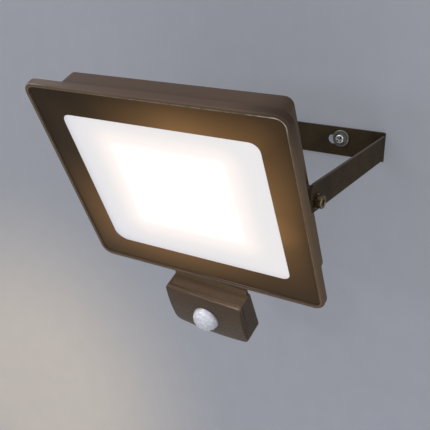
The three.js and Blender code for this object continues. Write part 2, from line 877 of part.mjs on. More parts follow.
function mountingBracket() {
  const outer = strip.bendRadius;
  const inner = strip.bendRadius - strip.thickness;
  const reach = -(arm.length + arm.endReach);
  const run = reach - fit.overrun;
  const beyond = armOutside + fit.overrun;
  const outside = roundedPoints(-armOutside, armOutside, 2 * run, 0, outer);
  const inside = roundedPoints(-armInside, armInside, 2 * run - fit.overrun, -strip.thickness, inner);
  const low = -strip.height / 2;
  const high = strip.height / 2;
  const folded = without(
    plateZ(outside, low, high),
    plateZ(inside, low - fit.overrun, high + fit.overrun),
  );
  const half = strip.armHeight / 2;
  const narrowed = roundedPoints(reach, fit.overrun, -half, half, arm.endRadius);
  const side = joined(
    plateX(narrowed, -beyond, beyond),
    block([-beyond, -strip.shoulder, -strip.height], [beyond, fit.overrun, strip.height]),
  );
  const slots = [-1, 1].map((sign) => plateY(
    roundedPoints(
      sign * slotPlace - slot.length / 2, sign * slotPlace + slot.length / 2,
      slot.raise - slot.height / 2, slot.raise + slot.height / 2, slot.height / 2,
    ),
    -strip.thickness - fit.overrun,
    fit.overrun,
  ));
  const pivotHole = rod(
    boltHoleRadius, -beyond, beyond, 'x', [0, -arm.length, -arm.pivotDrop],
  );
  return without(folded.intersect(side), ...slots, pivotHole);
}

const washerBack = -strip.thickness - fit.gap;
const washerFront = washerBack - wallWasher.thickness;

function wallWasherRing(side) {
  const centre = [side * screwPlace, 0, screwRaise];
  const body = revolve([
    [0, washerBack],
    [wallWasher.radius, washerBack],
    [wallWasher.radius, washerFront + wallWasher.bevel],
    [wallWasher.radius - wallWasher.bevel, washerFront],
    [0, washerFront],
  ], 'y', centre);
  const hole = rod(
    wallScrew.shankRadius + fit.gap, washerFront - fit.overrun, washerBack + fit.overrun, 'y', centre,
    steps.small,
  );
  return without(body, hole);
}

function wallScrewBody(side) {
  const centre = [side * screwPlace, 0, screwRaise];
  const headBack = washerFront - fit.gap;
  const headFront = headBack - wallScrew.headHeight;
  const body = revolve([
    [0, -fit.gap],
    [wallScrew.shankRadius, -fit.gap],
    [wallScrew.shankRadius, headBack],
    [wallScrew.headRadius, headBack],
    [wallScrew.headRadius, headBack - wallScrew.headHeight * screwRimShare],
    [wallScrew.headRadius * screwCrownShare, headFront],
    [0, headFront],
  ], 'y', centre, steps.small * 2);
  const half = wallScrew.recessWidth / 2;
  const reach = wallScrew.recessReach;
  const [x, , z] = centre;
  const floorDepth = headFront + wallScrew.recessDepth;
  const across = block([x - reach, headFront - fit.overrun, z - half], [x + reach, floorDepth, z + half]);
  const upright = block([x - half, headFront - fit.overrun, z - reach], [x + half, floorDepth, z + reach]);
  return without(body, across, upright);
}

// Swivel neck

const neckCentre = [0, neck.depth, 0];

const tiltCentre = [0, neck.depth, tiltAxisHeight];

function sensorNeck() {
  const disc = revolve([
    [0, discBottom],
    [neck.discRadius - neck.discBevel, discBottom],
    [neck.discRadius, discBottom + neck.discBevel],
    [neck.discRadius, discTop],
    [neck.stemRadius, discTop],
    [neck.stemRadius, stemTop],
    [0, stemTop],
  ], 'z', neckCentre);
  const tongue = joined(
    rod(neck.tongueRadius, -neck.tongueHalfWidth, neck.tongueHalfWidth, 'x', tiltCentre),
    block(
      [-neck.tongueHalfWidth, neck.depth - neck.tongueRadius, tiltAxisHeight],
      [neck.tongueHalfWidth, neck.depth + neck.tongueRadius, discBottom + fit.root],
    ),
  );
  const wireBore = rod(neck.wireBoreRadius, discBottom, stemTop + fit.overrun, 'z', neckCentre, steps.small);
  const wireExit = rod(
    neck.wireBoreRadius, -neck.tongueHalfWidth - neck.discRadius, neck.tongueHalfWidth + neck.discRadius, 'y',
    [0, neck.depth, discBottom],
    steps.small,
  );
  const pinHole = rod(
    tiltScrew.shankRadius + fit.gap, -earOutside, earOutside, 'x', tiltCentre, steps.small,
  );
  return without(joined(disc, tongue), wireBore, wireExit, pinHole);
}

const neckSealRing = () =>
  ring(neck.sealInner, neck.sealRadius, neckSealBottom, neckSealBottom + neck.sealThickness, 'z', neckCentre);

function neckNut() {
  const top = neckNutBottom + neck.nutHeight;
  return without(
    hexagon(neck.nutAcross, neckNutBottom, top, 'z', neckCentre),
    rod(neck.stemRadius + fit.gap, neckNutBottom - fit.overrun, top + fit.overrun, 'z', neckCentre),
  );
}

// Sensor head

// The sensor's outline: straight sides, round lower corners and a bowed lower edge, drawn in by an inset.
function sensorPoints(inset) {
  const half = sensor.halfWidth - inset;
  const top = sensorTop - inset;
  const bottom = sensorBottom + inset;
  const topRadius = sensor.topRadius - inset * (sensor.topRadius / (sensor.topRadius + sensor.wall));
  const radius = sensor.bottomRadius - inset;
  const flat = half - radius;
  const points = [];
  const arc = (x, z, r, start) => {
    for (let i = 0; i <= steps.corner; i++) {
      const angle = start + (Math.PI / 2) * (i / steps.corner);
      points.push(new THREE.Vector2(x + r * Math.cos(angle), z + r * Math.sin(angle)));
    }
  };
  arc(half - topRadius, top - topRadius, topRadius, 0);
  arc(-half + topRadius, top - topRadius, topRadius, Math.PI / 2);
  arc(-flat, bottom + radius, radius, Math.PI);
  for (let i = 1; i < steps.dome; i++) {
    const x = (i / steps.dome * 2 - 1) * flat;
    points.push(new THREE.Vector2(x, bottom - sensor.bellyDrop * (1 - (x / flat) ** 2)));
  }
  arc(flat, bottom + radius, radius, -Math.PI / 2);
  return points;
}

const lensCentre = [0, 0, lensHeight];

// The space behind the bowed face: its front is an arc from the upper to the lower edge.
function behindTheFace() {
  const lowest = sensorBottom - sensor.bellyDrop;
  const arc = [];
  for (let i = 0; i <= steps.dome * 2; i++) {
    const across = i / steps.dome - 1;
    const depth = sensor.front - sensor.faceBow * (1 - across ** 2);
    arc.push(new THREE.Vector2(depth, (sensorTop + lowest) / 2 + across * (sensorTop - lowest) / 2));
  }
  const back = coverBack + fit.overrun;
  const points = [...arc, new THREE.Vector2(back, sensorTop), new THREE.Vector2(back, lowest)];
  return plateX(points, -sensor.halfWidth - fit.overrun, sensor.halfWidth + fit.overrun);
}

function sensorFrontCover() {
  const slanted = layered([
    { depth: lensBase - fit.overrun, points: sensorPoints(2 * sensor.faceBevel) },
    { depth: sensor.front + sensor.faceBevel, points: sensorPoints(0) },
    { depth: coverBack, points: sensorPoints(0) },
  ]);
  const shell = slanted.intersect(behindTheFace());
  const hollow = plateY(sensorPoints(sensor.wall), coverInside, coverBack + fit.overrun);
  const posts = caseScrewPlaces.map(([x, z]) =>
    rod(caseScrew.postRadius, coverInside - fit.root / 2, coverBack, 'y', [x, 0, z], steps.small));
  const holes = caseScrewPlaces.map(([x, z]) =>
    rod(caseScrew.shankRadius + caseScrew.sideGap, coverBack - caseScrew.biteLength - fit.gap,
      coverBack + fit.overrun, 'y', [x, 0, z], steps.small));
  const eye = rod(lens.radius + fit.gap, lensBase - fit.overrun, coverInside + fit.overrun, 'y', lensCentre);
  return without(joined(without(shell, hollow), ...posts), ...holes, eye);
}

function sensorRearCase() {
  const shell = layered([
    { depth: caseFront, points: sensorPoints(0) },
    { depth: sensor.back - sensor.backBevel, points: sensorPoints(0) },
    { depth: sensor.back, points: sensorPoints(sensor.backBevel) },
  ]);
  const hollow = plateY(sensorPoints(sensor.wall), caseFront - fit.overrun, caseInside);
  const posts = caseScrewPlaces.map(([x, z]) =>
    rod(caseScrew.postRadius, caseFront, sensor.back - fit.root / 2, 'y', [x, 0, z], steps.small));
  const standoffs = standoffPlaces.map(([x, z]) =>
    rod(sensorBoard.standoffRadius, sensorBoardBack + fit.gap, caseInside + fit.root / 2, 'y', [x, 0, z],
      steps.small));
  const screwHoles = caseScrewPlaces.flatMap(([x, z]) => [
    rod(caseScrew.shankRadius + caseScrew.sideGap, caseFront - fit.overrun, sensor.back + fit.overrun, 'y',
      [x, 0, z], steps.small),
    rod(caseScrew.headRadius + caseScrew.sideGap, caseScrewSeat, sensor.back + fit.overrun, 'y', [x, 0, z],
      steps.small),
  ]);
  const knobHoles = knobPlaces.map((x) => rod(
    knob.radius + knob.sideGap, caseInside - fit.overrun, sensor.back + fit.overrun, 'y', [x, 0, knobHeight],
  ));
  const ears = [-1, 1].map((side) => {
    const [from, to] = side < 0 ? [-earOutside, -earInside] : [earInside, earOutside];
    return plateX(earPoints(), from, to);
  });
  const pinHole = rod(
    tiltScrew.shankRadius + fit.gap, -earOutside - fit.overrun, earOutside + fit.overrun, 'x', tiltCentre,
    steps.small,
  );
  const body = joined(without(shell, hollow), ridgeAlongTheTop(), ...posts, ...standoffs, ...ears);
  return without(body, ...screwHoles, ...knobHoles, pinHole);
}

// The ridge along the upper back edge of the case, with a sloping front.
function ridgeAlongTheTop() {
  const front = sensor.back - caseRidge.depth;
  const back = sensor.back - sensor.backBevel;
  const root = sensorTop - sensor.wall / 2;
  const top = sensorTop + caseRidge.height;
  const half = sensor.halfWidth - caseRidge.sideInset;
  const points = [
    new THREE.Vector2(front, root),
    new THREE.Vector2(back, root),
    new THREE.Vector2(back, top),
    new THREE.Vector2(front + caseRidge.slope, top),
  ];
  return plateX(points, -half, half);
}

// An ear seen from the side, in y and z: round at the tilt axis, and straight down to the back of the case.
function earPoints() {
  const rootDepth = sensor.back - sensor.wall / 2;
  const rootTop = sensorTop - sensor.topRadius;
  const points = [new THREE.Vector2(rootDepth, rootTop - ear.rootDrop)];
  for (let i = 0; i <= steps.small; i++) {
    const angle = THREE.MathUtils.degToRad(THREE.MathUtils.lerp(
      ear.arcStartDegrees, ear.arcEndDegrees, i / steps.small,
    ));
    points.push(new THREE.Vector2(
      neck.depth + neck.tongueRadius * Math.cos(angle),
      tiltAxisHeight + neck.tongueRadius * Math.sin(angle),
    ));
  }
  points.push(new THREE.Vector2(rootDepth, rootTop));
  return points;
}

const standoffPlaces = [
  [-sensorBoard.standoffSpread, sensorTop - sensorBoard.top - 2 * sensorBoard.standoffRadius],
  [sensorBoard.standoffSpread, sensorTop - sensorBoard.top - 2 * sensorBoard.standoffRadius],
];

function caseSealRing() {
  return without(
    plateY(sensorPoints(caseSeal.inset), caseSealFront, caseSealBack),
    plateY(sensorPoints(caseSeal.inset + caseSeal.width), caseSealFront - fit.overrun,
      caseSealBack + fit.overrun),
  );
}

// Half an ellipse from the axis out to a cylinder, as a profile of radius and depth.
function domeProfile(radius, bulge, base) {
  const profile = [];
  for (let i = 0; i <= steps.dome; i++) {
    const angle = (Math.PI / 2) * (i / steps.dome);
    profile.push([radius * Math.sin(angle), base - bulge * Math.cos(angle)]);
  }
  return profile;
}

function sensorLens() {
  const outer = revolve([
    ...domeProfile(lens.radius, lens.bulge, lensBase),
    [lens.radius, lensFlangeFront],
    [lens.radius + lens.flangeWidth, lensFlangeFront],
    [lens.radius + lens.flangeWidth, lensFlangeBack],
    [0, lensFlangeBack],
  ], 'y', lensCentre);
  const inner = revolve([
    ...domeProfile(lens.radius - lens.shell, lens.bulge - lens.shell, lensBase),
    [lens.radius - lens.shell, lensFlangeBack + fit.overrun],
    [0, lensFlangeBack + fit.overrun],
  ], 'y', lensCentre);
  return without(outer, inner);
}

function sensorCircuitBoard() {
  const sheet = plateY(
    roundedPoints(
      -sensorBoard.halfWidth, sensorBoard.halfWidth,
      sensorTop - sensorBoard.bottom, sensorTop - sensorBoard.top, sensorBoard.cornerRadius,
    ),
    sensorBoardFront,
    sensorBoardBack,
  );
  const pots = knobPlaces.map((x) => block(
    [x - knob.potHalf, sensorBoardFront + sensorBoard.thickness / 2, knobHeight - knob.potHalf],
    [x + knob.potHalf, sensorBoardBack + knob.potHeight, knobHeight + knob.potHalf],
  ));
  return joined(sheet, ...pots);
}

function pyroElement() {
  const base = sensorBoardFront - fit.gap;
  const top = base - pyro.height;
  const can = revolve([
    [0, base],
    [pyro.flangeRadius, base],
    [pyro.flangeRadius, base - pyro.flangeHeight],
    [pyro.radius, base - pyro.flangeHeight],
    [pyro.radius, top],
    [0, top],
  ], 'y', lensCentre, steps.small * 2);
  const half = pyro.windowWidth / 2;
  const window = block(
    [-half, top - fit.overrun, lensHeight - half],
    [half, top + pyro.windowDepth, lensHeight + half],
  );
  return without(can, window);
}

function adjusterKnob(x) {
  const front = sensorBoardBack + knob.potHeight + fit.gap;
  const back = sensor.back - knob.sink;
  const body = rod(knob.radius, front, back, 'y', [x, 0, knobHeight], steps.small * 2);
  const half = knob.slotWidth / 2;
  const slotCut = block(
    [x - half, back - knob.slotDepth, knobHeight - knob.radius - fit.overrun],
    [x + half, back + fit.overrun, knobHeight + knob.radius / 2],
  );
  return without(body, slotCut);
}

const caseScrewSeat = sensor.back - caseScrew.sink - caseScrew.headHeight - fit.gap;

// A case screw goes in from the back, through the rear case and into the front cover.
function caseScrewBody([x, z]) {
  const seat = caseScrewSeat + fit.gap;
  const head = seat + caseScrew.headHeight;
  const body = revolve([
    [0, coverBack - caseScrew.biteLength],
    [caseScrew.shankRadius, coverBack - caseScrew.biteLength],
    [caseScrew.shankRadius, seat],
    [caseScrew.headRadius, seat],
    [caseScrew.headRadius, head],
    [0, head],
  ], 'y', [x, 0, z], steps.small);
  const recess = rod(
    caseScrew.shankRadius * screwCrownShare, head - caseScrew.headHeight / 2, head + fit.overrun, 'y',
    [x, 0, z], cornersPerHexagon,
  );
  return without(body, recess);
}

function tiltScrewBody() {
  const headInside = earOutside + fit.gap;
  const headEnd = headInside + tiltScrew.headHeight;
  const tip = -(earOutside + fit.gap + tiltScrew.nutHeight + tiltScrew.tail);
  const body = revolve([
    [0, tip],
    [tiltScrew.shankRadius, tip],
    [tiltScrew.shankRadius, headInside],
    [tiltScrew.headRadius, headInside],
    [tiltScrew.headRadius, headEnd - tiltScrew.headHeight * screwRimShare],
    [tiltScrew.headRadius * screwCrownShare, headEnd],
    [0, headEnd],
  ], 'x', tiltCentre, steps.small * 2);
  const half = tiltScrew.slotWidth / 2;
  const slotCut = block(
    [headEnd - tiltScrew.slotDepth, neck.depth - tiltScrew.headRadius, tiltAxisHeight - half],
    [headEnd + fit.overrun, neck.depth + tiltScrew.headRadius, tiltAxisHeight + half],
  );
  return without(body, slotCut);
}

function tiltNut() {
  const [far, near] = [-(earOutside + fit.gap + tiltScrew.nutHeight), -(earOutside + fit.gap)];
  return without(
    hexagon(tiltScrew.nutAcross, far, near, 'x', tiltCentre),
    rod(tiltScrew.shankRadius + fit.gap, far - fit.overrun, near + fit.overrun, 'x', tiltCentre, steps.small),
  );
}

// The assembly

function piece(group, name, solid, look) {
  const mesh = new THREE.Mesh(geometryOf(solid), new THREE.MeshStandardMaterial(look));
  mesh.name = name;
  group.add(mesh);
}

const light = new THREE.Group();
const head = new THREE.Group();
const headFrame = new THREE.Group();
head.position.set(0, -arm.length, -arm.pivotDrop);
head.rotation.x = THREE.MathUtils.degToRad(restTiltDegrees);
headFrame.position.set(0, -pivot.depth, -pivot.height);
head.add(headFrame);
light.add(head);
const swivel = new THREE.Group();
const swivelFrame = new THREE.Group();
swivel.position.set(0, neck.depth, 0);
swivel.rotation.z = THREE.MathUtils.degToRad(restPanDegrees);
swivelFrame.position.set(0, -neck.depth, 0);
swivel.add(swivelFrame);
headFrame.add(swivel);

piece(light, 'mounting_bracket', mountingBracket(), finish.bracket);
piece(headFrame, 'rear_housing', rearHousing(), finish.housing);
piece(headFrame, 'front_glass', frontGlass(), finish.glass);
piece(headFrame, 'glass_seal', glassSeal(), finish.rubber);
piece(headFrame, 'window_mask', windowMask(), finish.mask);
piece(headFrame, 'diffuser_sheet', diffuserSheet(), finish.opal);
piece(headFrame, 'reflector_tray', reflectorTray(), finish.white);
piece(headFrame, 'led_board', ledBoard(), finish.pcbWhite);
piece(headFrame, 'heat_spreader', heatSpreader(), finish.aluminium);
piece(headFrame, 'driver_board', driverBoard(), finish.pcb);
piece(headFrame, 'gland_body', glandBody(), finish.nylon);
piece(headFrame, 'gland_seal', glandSeal(), finish.rubber);
piece(headFrame, 'gland_nut', glandNut(), finish.nylon);

for (const [side, label] of [[-1, 'left'], [1, 'right']]) {
  piece(light, `wall_washer_${label}`, wallWasherRing(side), finish.steel);
  piece(light, `wall_screw_${label}`, wallScrewBody(side), finish.steel);
  piece(headFrame, `tilt_bolt_${label}`, tiltBolt(side), finish.darkSteel);
  piece(headFrame, `lock_washer_${label}`,
    sideRing(boltHoleRadius, lockWasher.radius, lockWasherInside, lockWasher.thickness, side),
    finish.darkSteel);
  piece(headFrame, `arm_spacer_${label}`,
    sideRing(boltHoleRadius, armSpacer.radius, spacerInside, armSpacer.thickness, side),
    finish.rubber);
}

boardScrewPlaces.forEach(([x, z], i) => {
  const screw = panScrew({ x, z, seat: boardFront, length: boardScrew.length, size: boardScrew });
  piece(headFrame, `board_screw_${i + 1}`, screw, finish.steel);
});
driverScrewPlaces.forEach(([x, z], i) => {
  const screw = panScrew({ x, z, seat: driverFront, length: driver.screwLength, size: boardScrew });
  piece(headFrame, `driver_screw_${i + 1}`, screw, finish.steel);
});

piece(swivelFrame, 'sensor_neck', sensorNeck(), finish.plastic);
piece(headFrame, 'neck_seal', neckSealRing(), finish.rubber);
piece(headFrame, 'neck_nut', neckNut(), finish.nylon);
piece(swivelFrame, 'sensor_front_cover', sensorFrontCover(), finish.plastic);
piece(swivelFrame, 'sensor_rear_case', sensorRearCase(), finish.plastic);
piece(swivelFrame, 'sensor_case_seal', caseSealRing(), finish.rubber);
piece(swivelFrame, 'sensor_lens', sensorLens(), finish.lens);
piece(swivelFrame, 'sensor_board', sensorCircuitBoard(), finish.pcb);
piece(swivelFrame, 'pyro_element', pyroElement(), finish.steel);
piece(swivelFrame, 'sensor_tilt_screw', tiltScrewBody(), finish.steel);
piece(swivelFrame, 'sensor_tilt_nut', tiltNut(), finish.steel);
caseScrewPlaces.forEach((place, i) => {
  piece(swivelFrame, `case_screw_${i + 1}`, caseScrewBody(place), finish.steel);
});
['time', 'dusk', 'range'].forEach((label, i) => {
  piece(swivelFrame, `${label}_knob`, adjusterKnob(knobPlaces[i]), finish.white);
});

export default light;
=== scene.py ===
"""Motion sensor security light on a wall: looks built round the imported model.

Metres, part frame: the origin is the middle of the bracket's back face, +Y points into the wall and the lamp
faces -Y. The forms of the finer pieces are written in millimetres, in the head's or the sensor's own frame.
"""

import json
import math

import bmesh
import bpy
from mathutils import Matrix, Quaternion, Vector, geometry


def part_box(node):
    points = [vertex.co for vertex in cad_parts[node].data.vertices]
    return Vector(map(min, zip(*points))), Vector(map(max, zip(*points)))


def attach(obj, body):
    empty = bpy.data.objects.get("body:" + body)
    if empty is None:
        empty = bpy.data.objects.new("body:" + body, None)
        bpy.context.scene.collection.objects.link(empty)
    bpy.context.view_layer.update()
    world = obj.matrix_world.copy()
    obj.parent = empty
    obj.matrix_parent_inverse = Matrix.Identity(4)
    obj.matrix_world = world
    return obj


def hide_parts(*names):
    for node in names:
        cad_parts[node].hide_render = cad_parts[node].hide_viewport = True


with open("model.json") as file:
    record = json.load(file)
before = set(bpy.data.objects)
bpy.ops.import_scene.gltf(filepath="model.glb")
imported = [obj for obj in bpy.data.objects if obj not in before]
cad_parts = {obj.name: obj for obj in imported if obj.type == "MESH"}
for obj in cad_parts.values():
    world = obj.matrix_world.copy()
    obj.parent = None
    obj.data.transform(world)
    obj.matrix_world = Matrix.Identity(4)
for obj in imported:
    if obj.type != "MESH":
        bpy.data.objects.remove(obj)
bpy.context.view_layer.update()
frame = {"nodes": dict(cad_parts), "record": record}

# Frames

MM = 0.001
HEAD_TILT = math.radians(26.2)
SENSOR_TURN = math.radians(-2.5)
COS, SIN = math.cos(HEAD_TILT), math.sin(HEAD_TILT)
AXIS_REACH, AXIS_DROP = 171, 3  # the tilt axis in the part frame, in millimetres
PIVOT_Y, PIVOT_Z = 26.5, 1.3  # the same axis in the head's frame
NECK_Y = 24.5
LENS_CENTRE = (0, -15.2, -144.9)  # in the sensor's frame

PART = Matrix.Scale(MM, 4)
HEAD_TO_PART = (
    Matrix.Translation((0, -AXIS_REACH * MM, -AXIS_DROP * MM))
    @ Matrix.Rotation(HEAD_TILT, 4, "X")
    @ Matrix.Translation((0, -PIVOT_Y * MM, -PIVOT_Z * MM))
    @ PART
)
SENSOR_TO_PART = (
    HEAD_TO_PART
    @ Matrix.Translation((0, NECK_Y, 0))
    @ Matrix.Rotation(SENSOR_TURN, 4, "Z")
    @ Matrix.Translation((0, -NECK_Y, 0))
)
FORWARDS = Matrix.Rotation(math.pi / 2, 4, "X")  # brings a turned form's axis to -Y
FACE_SIDE, FACE_UP, FACE_BACK = (1, 0, 0), (0, -SIN, COS), (0, COS, SIN)  # the head's axes in the part frame

# Outlines on the head's face, in metres: half width and half height, corner radius, height of the middle

WINDOW_HALF, WINDOW_RAISE = (0.0918, 0.0747), -0.0004
CORE_HALF, CORE_RAISE = (0.048, 0.0395), 0.0013
WHITE_HALF = (0.028, 0.020)
PANE_HALF, PANE_RADIUS = (0.1163, 0.0998), 0.0076
LIP_HALF, LIP_RADIUS = (0.1166, 0.1001), 0.0079
RIM_HALF, RIM_RADIUS = (0.120, 0.1035), 0.011

# Soft spots on the head's face, which place painted shade, painted highlights and painted glow: sideways and
# up from its middle, radius, strength

# painted shade: the housing's top right corner is painted darker
PAINTED_SHADE_CORNER = (0.124, 0.108, 0.058, 0.85)
BROWN_SIDE = (0.122, -0.015, 0.085, 0.45)
# painted highlights along the lip and the rim's outer edge, strongest at these spots
LIP_HIGHLIGHTS = ((0.107, 0.100, 0.028, 1.0), (0.03, 0.103, 0.14, 0.26), (0.12, 0.06, 0.07, 0.14))
RIM_HIGHLIGHTS = ((-0.12, 0.098, 0.035, 1.0), (-0.12, 0.03, 0.13, 0.3))
# painted glow on the border: the lamp's light and its reflection, strongest at these spots
GLOW_WIDE = (
    (0.035, 0.09, 0.115, 0.86), (0.105, 0.004, 0.108, 0.84),
    (-0.120, -0.05, 0.10, 0.72), (-0.03, -0.09, 0.16, 0.70),
)
GLOW_NARROW = ((0.024, 0.078, 0.040, 0.2), (0.094, -0.016, 0.024, 0.38))
GLOW_APART = ((0.12, -0.09, 0.07, 0.09), (0.108, 0.062, 0.078, 0.085))
# the glass's ground edge: lighter, and with painted highlights strongest at these spots
PANE_EDGE = ((0.118, 0.095, 0.060, 1.0), (0.0, 0.10, 0.16, 0.42), (0.035, -0.10, 0.06, 0.5))
# least strength of the lip's painted highlight, of the pane edge's painted highlight and of the painted glow
LEAST_LIP_HIGHLIGHT, LEAST_PANE_EDGE, LEAST_GLOW = 0.10, 0.06, 0.08

# Where the thin painted highlight lines lie, from their outline outwards: no line to full line, and full line
# to no line

LIP_LINE_START, LIP_LINE_END = (-0.0004, 0.0), (0.0005, 0.0010)
RIM_LINE_START = (-0.0009, -0.0004)
PANE_LINE_START = (-0.0009, -0.0005)
FRONT_END = (0.0003, 0.0009)  # depth over which the housing's lines end

# Tones

# painted shade for the housing's top right corner, and the brown of its right side
PAINTED_SHADE_TONE, BROWN_PAINT = (0.022, 0.016, 0.010), (0.085, 0.056, 0.026)
# painted highlights on the lip and the rim's edge
LIP_HIGHLIGHT_TONE, RIM_HIGHLIGHT_TONE = (0.46, 0.42, 0.39), (0.50, 0.46, 0.40)
# painted light on the back of the sensor's top
PAINTED_LIGHT_CASE_TOP = (0.110, 0.076, 0.050)
# the border's dark glass and its painted glow, and the glass's ground edge, lighter and with painted
# highlights
BORDER_DARK, BORDER_GLOW, GROUND_EDGE_AND_GLINT = (0.012, 0.008, 0.004), (0.182, 0.097, 0.037), (0.40, 0.37, 0.36)
LIGHT_LEFT, LIGHT_RIGHT = (0.70, 0.705, 0.765), (0.80, 0.775, 0.795)
# The window's light inwards: the outline measured from, full tone, faded tone, whether smooth, tone
LIGHT_RINGS = (
    (CORE_HALF, 0.026, 0.052, False, (0.80, 0.772, 0.778)),
    (CORE_HALF, 0.008, 0.030, True, (0.99, 0.905, 0.865)),
    (CORE_HALF, 0.0, 0.012, True, (1.15, 1.09, 1.045)),
    (WHITE_HALF, 0.0, 0.022, True, (90.0, 82.0, 74.0)),
)

# How noise becomes tone and roughness

NOISE_RANGE = (0.3, 0.7)  # the noise seldom leaves it
TONE_RANGE = (0.35, 0.65)
WIDE_SHARE, FINE_SHARE = 0.6, 0.4
# the slope tone is painted light on faces that slope a little
SLOPE_FACING = (0.22, 0.30)  # how far a face looks up: a slope starts at the first and is full at the second


class Nodes:
    """Short ways to make and join shader nodes of one material. A value is a number, a colour or a socket."""

    def __init__(self, name):
        self.material = bpy.data.materials.new(name)
        self.material.use_nodes = True
        self.tree = self.material.node_tree
        self.shader = self.tree.nodes["Principled BSDF"]
        self.output = self.tree.nodes["Material Output"]
        coordinates = self.add("ShaderNodeTexCoord")
        self.place = coordinates.outputs["Object"]
        self.normal = coordinates.outputs["Normal"]

    def add(self, kind, **values):
        node = self.tree.nodes.new(kind)
        for key, value in values.items():
            setattr(node, key, value)
        return node

    def link(self, source, target):
        if isinstance(source, (int, float)):
            target.default_value = source
        elif isinstance(source, tuple):
            target.default_value = source if len(source) == len(target.default_value) else (*source, 1)
        else:
            self.tree.links.new(source, target)

    def math(self, operation, a, b=0.0):
        node = self.add("ShaderNodeMath", operation=operation)
        self.link(a, node.inputs[0])
        self.link(b, node.inputs[1])
        return node.outputs[0]

    def fold(self, operation, values):
        """One value from many, by sum, product, greatest and so on."""
        result, *rest = values
        for value in rest:
            result = self.math(operation, result, value)
        return result

    def product(self, *values):
        return self.fold("MULTIPLY", values)

    def length(self, a, b):
        return self.math("SQRT", self.math("ADD", self.product(a, a), self.product(b, b)))

    def dot(self, direction, offset=0.0, vector=None):
        node = self.add("ShaderNodeVectorMath", operation="DOT_PRODUCT")
        self.link(vector or self.place, node.inputs[0])
        node.inputs[1].default_value = direction
        return self.math("ADD", node.outputs["Value"], offset)

    def noise(self, scale, detail=3.0, stretch=None):
        source = self.place
        if stretch:
            mapping = self.add("ShaderNodeMapping")
            self.link(self.place, mapping.inputs["Vector"])
            mapping.inputs["Scale"].default_value = stretch
            source = mapping.outputs[0]
        node = self.add("ShaderNodeTexNoise")
        self.link(source, node.inputs["Vector"])
        node.inputs["Scale"].default_value = scale
        node.inputs["Detail"].default_value = detail
        return node.outputs["Fac"]

    def span(self, value, low, high, to_low=0.0, to_high=1.0, smooth=False):
        """The value, brought from the range low to high to the other range and held at its ends."""
        node = self.add("ShaderNodeMapRange", interpolation_type="SMOOTHSTEP" if smooth else "LINEAR")
        self.link(value, node.inputs["Value"])
        ends = {"From Min": low, "From Max": high, "To Min": to_low, "To Max": to_high}
        for key, number in ends.items():
            node.inputs[key].default_value = number
        return node.outputs[0]

    def wander(self, scale, low, high, detail=3.0, stretch=None):
        """A value that wanders between low and high over the surface."""
        return self.span(self.noise(scale, detail, stretch), *NOISE_RANGE, low, high)

    def mix(self, share, a, b, **values):
        node = self.add("ShaderNodeMix", data_type="RGBA", **values)
        self.link(share, node.inputs["Factor"])
        self.link(a, node.inputs["A"])
        self.link(b, node.inputs["B"])
        return node.outputs["Result"]

    def mix_shader(self, share, a, b):
        node = self.add("ShaderNodeMixShader")
        self.link(share, node.inputs["Fac"])
        self.link(a.outputs[0], node.inputs[1])
        self.link(b.outputs[0], node.inputs[2])
        return node

    def bump(self, height, depth):
        node = self.add("ShaderNodeBump")
        self.link(height, node.inputs["Height"])
        node.inputs["Distance"].default_value = depth
        return node.outputs[0]

    def set(self, **values):
        """Gives the main shader its values: Base_Color stands for the socket Base Color."""
        for key, value in values.items():
            self.link(value, self.shader.inputs[key.replace("_", " ")])
        return self.material


# Measures on the head, in metres at rest


def face_height(n):
    """Height up the head's face from its middle."""
    return n.dot(FACE_UP, (PIVOT_Z - AXIS_REACH * SIN + AXIS_DROP * COS) * MM)


def face_depth(n):
    """Depth behind the head's front plane."""
    return n.dot(FACE_BACK, (AXIS_REACH * COS + AXIS_DROP * SIN + PIVOT_Y) * MM)


def from_rectangle(n, half, raised=0.0):
    """Distance outside a rectangle on the head's face, zero inside it."""
    height = n.math("SUBTRACT", face_height(n), raised)
    x = n.math("SUBTRACT", n.math("ABSOLUTE", n.dot(FACE_SIDE)), half[0])
    z = n.math("SUBTRACT", n.math("ABSOLUTE", height), half[1])
    return n.length(n.math("MAXIMUM", x, 0.0), n.math("MAXIMUM", z, 0.0))


def from_outline(n, half, radius):
    """Distance outside an outline with rounded corners on the head's face, below zero just inside it."""
    return n.math("SUBTRACT", from_rectangle(n, (half[0] - radius, half[1] - radius)), radius)


def spot(n, place):
    """A soft spot on the head's face: its strength at the middle, nothing beyond its radius."""
    x, z, radius, strength = place
    away = n.length(n.math("SUBTRACT", n.dot(FACE_SIDE), x), n.math("SUBTRACT", face_height(n), z))
    return n.product(n.span(away, 0.0, radius, 1.0, 0.0, smooth=True), strength)


def strongest(n, places, least=None):
    """The strongest of several spots at each place, and never less than the least."""
    values = [spot(n, place) for place in places]
    return n.fold("MAXIMUM", values if least is None else [*values, least])


# Finishes


